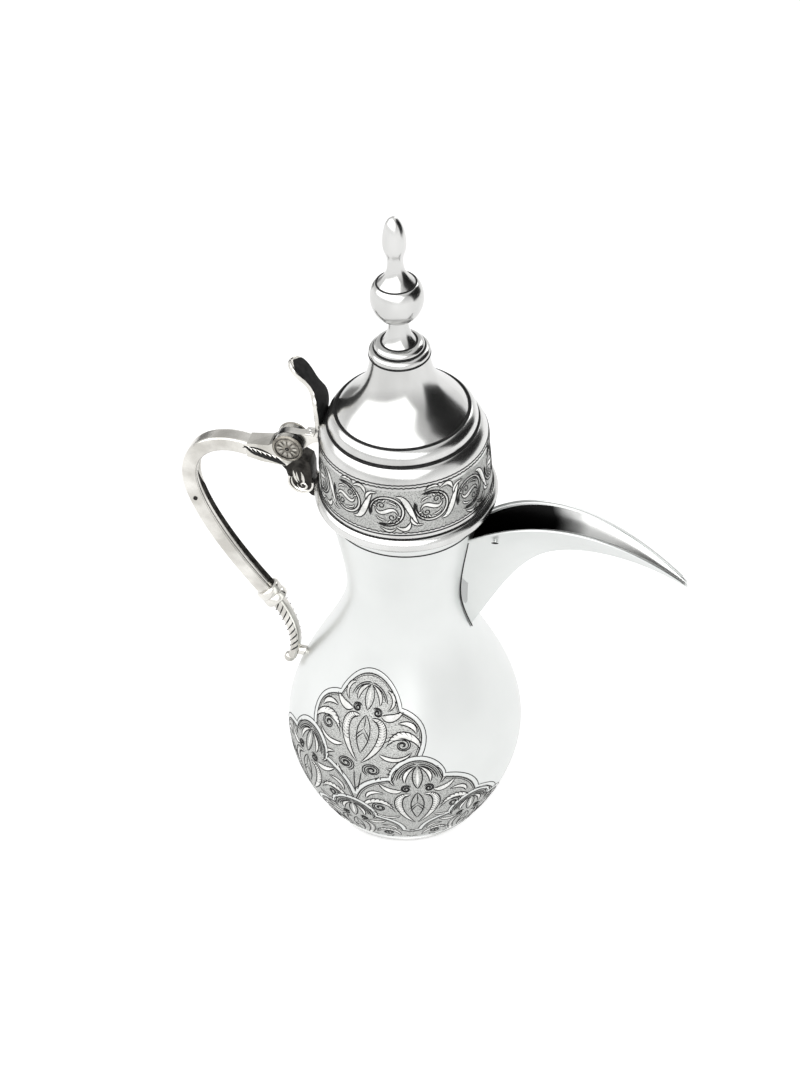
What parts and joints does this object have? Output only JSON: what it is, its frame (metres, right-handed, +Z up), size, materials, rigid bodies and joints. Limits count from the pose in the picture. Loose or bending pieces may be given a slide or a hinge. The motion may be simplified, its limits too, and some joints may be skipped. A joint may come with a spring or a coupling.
{
  "type": "dallah coffee pot",
  "caption": "Waisted coffee pot with an open crescent spout, a swept handle and a hinged bell-shaped lid with a tall finial.",
  "frame": {"origin": "centre of the flat base, on the surface that the pot stands on", "axes": "+Z up along the pot's axis; +X towards the spout; -X towards the handle; the pot is symmetric about the XZ plane"},
  "size_m": [0.2063, 0.1006, 0.2993],
  "materials": {
    "polished_silver": "mirror polish",
    "warm_silver": "soft polish with worn plate",
    "dark_silver": "oxidised recesses, polished high points",
    "brass": "satin"
  },
  "bodies": {
    "pot": {"pot_body": "polished_silver", "foot_band": "polished_silver", "base_disc": "polished_silver", "mouth_ring": "polished_silver", "spout": "polished_silver", "spout_rivets": "dark_silver", "handle_grip": "warm_silver", "handle_cross_pin": "dark_silver", "handle_ferrule": "warm_silver", "handle_tail": "warm_silver", "handle_ball": "warm_silver", "handle_lug": "warm_silver", "hinge_fork": "warm_silver", "scroll_bracket": "dark_silver", "hinge_pin": "brass", "rosette_left": "dark_silver", "rosette_right": "dark_silver"},
    "lid": {"lid_bead": "polished_silver", "lid_band": "polished_silver", "lid_shoulder": "polished_silver", "lid_ring": "polished_silver", "lid_dome": "polished_silver", "lid_flange": "polished_silver", "finial_base": "polished_silver", "finial_stem": "polished_silver", "finial_ball": "polished_silver", "finial_spire": "polished_silver", "finial_rod": "brass", "finial_washer": "brass", "finial_nut": "brass", "lid_arm": "warm_silver", "thumb_rivets": "polished_silver", "thumb_piece": "dark_silver"}
  },
  "joints": [
    {"name": "lid_hinge", "type": "hinge", "parent": "pot", "child": "lid", "pos_m": [-0.0463, 0, 0.187], "axis": [0, -1, 0], "range_deg": [-2.25, 100]}
  ]
}
